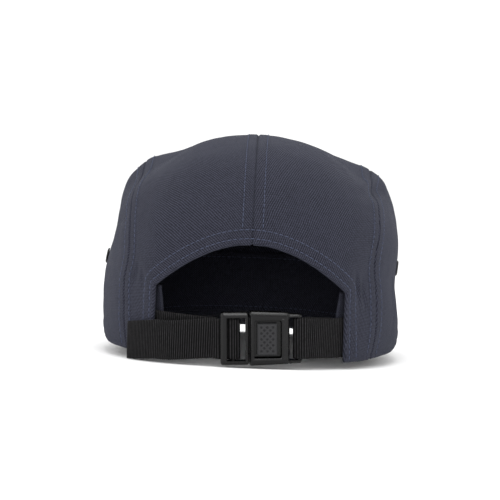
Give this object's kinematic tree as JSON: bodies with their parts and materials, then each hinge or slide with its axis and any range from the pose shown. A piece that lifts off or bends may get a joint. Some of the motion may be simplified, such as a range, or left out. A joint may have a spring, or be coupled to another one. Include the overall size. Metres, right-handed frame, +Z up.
{
  "type": "jockey cap",
  "caption": "Low-crowned soft panel cap with a stiff peak, an arched opening at the back and a webbing strap with a centre-push buckle.",
  "frame": {"origin": "on the surface that the cap lies on, under the middle of its outline", "axes": "+Z up, -Y forwards over the peak, +Y to the opening and the buckle, +X to the wearer's left"},
  "size_m": [0.1538, 0.259, 0.1139],
  "materials": {
    "cloth": "dark slate navy cotton twill, matt",
    "band": "the same twill, turned as a band",
    "webbing": "black ribbed nylon webbing, faint sheen",
    "buckle": "black moulded plastic, satin",
    "eyelet": "black enamelled metal, semi-gloss"
  },
  "bodies": {
    "root": {"buckle_plug": "buckle", "buckle_socket": "buckle", "eyelet_left_front": "eyelet", "eyelet_left_rear": "eyelet", "eyelet_right_front": "eyelet", "eyelet_right_rear": "eyelet", "front_panel": "cloth", "peak": "cloth", "side_panel_left": "cloth", "side_panel_right": "cloth", "strap_left": "webbing", "strap_right": "webbing", "sweatband": "band", "top_panel_left": "cloth", "top_panel_right": "cloth"}
  },
  "joints": []
}
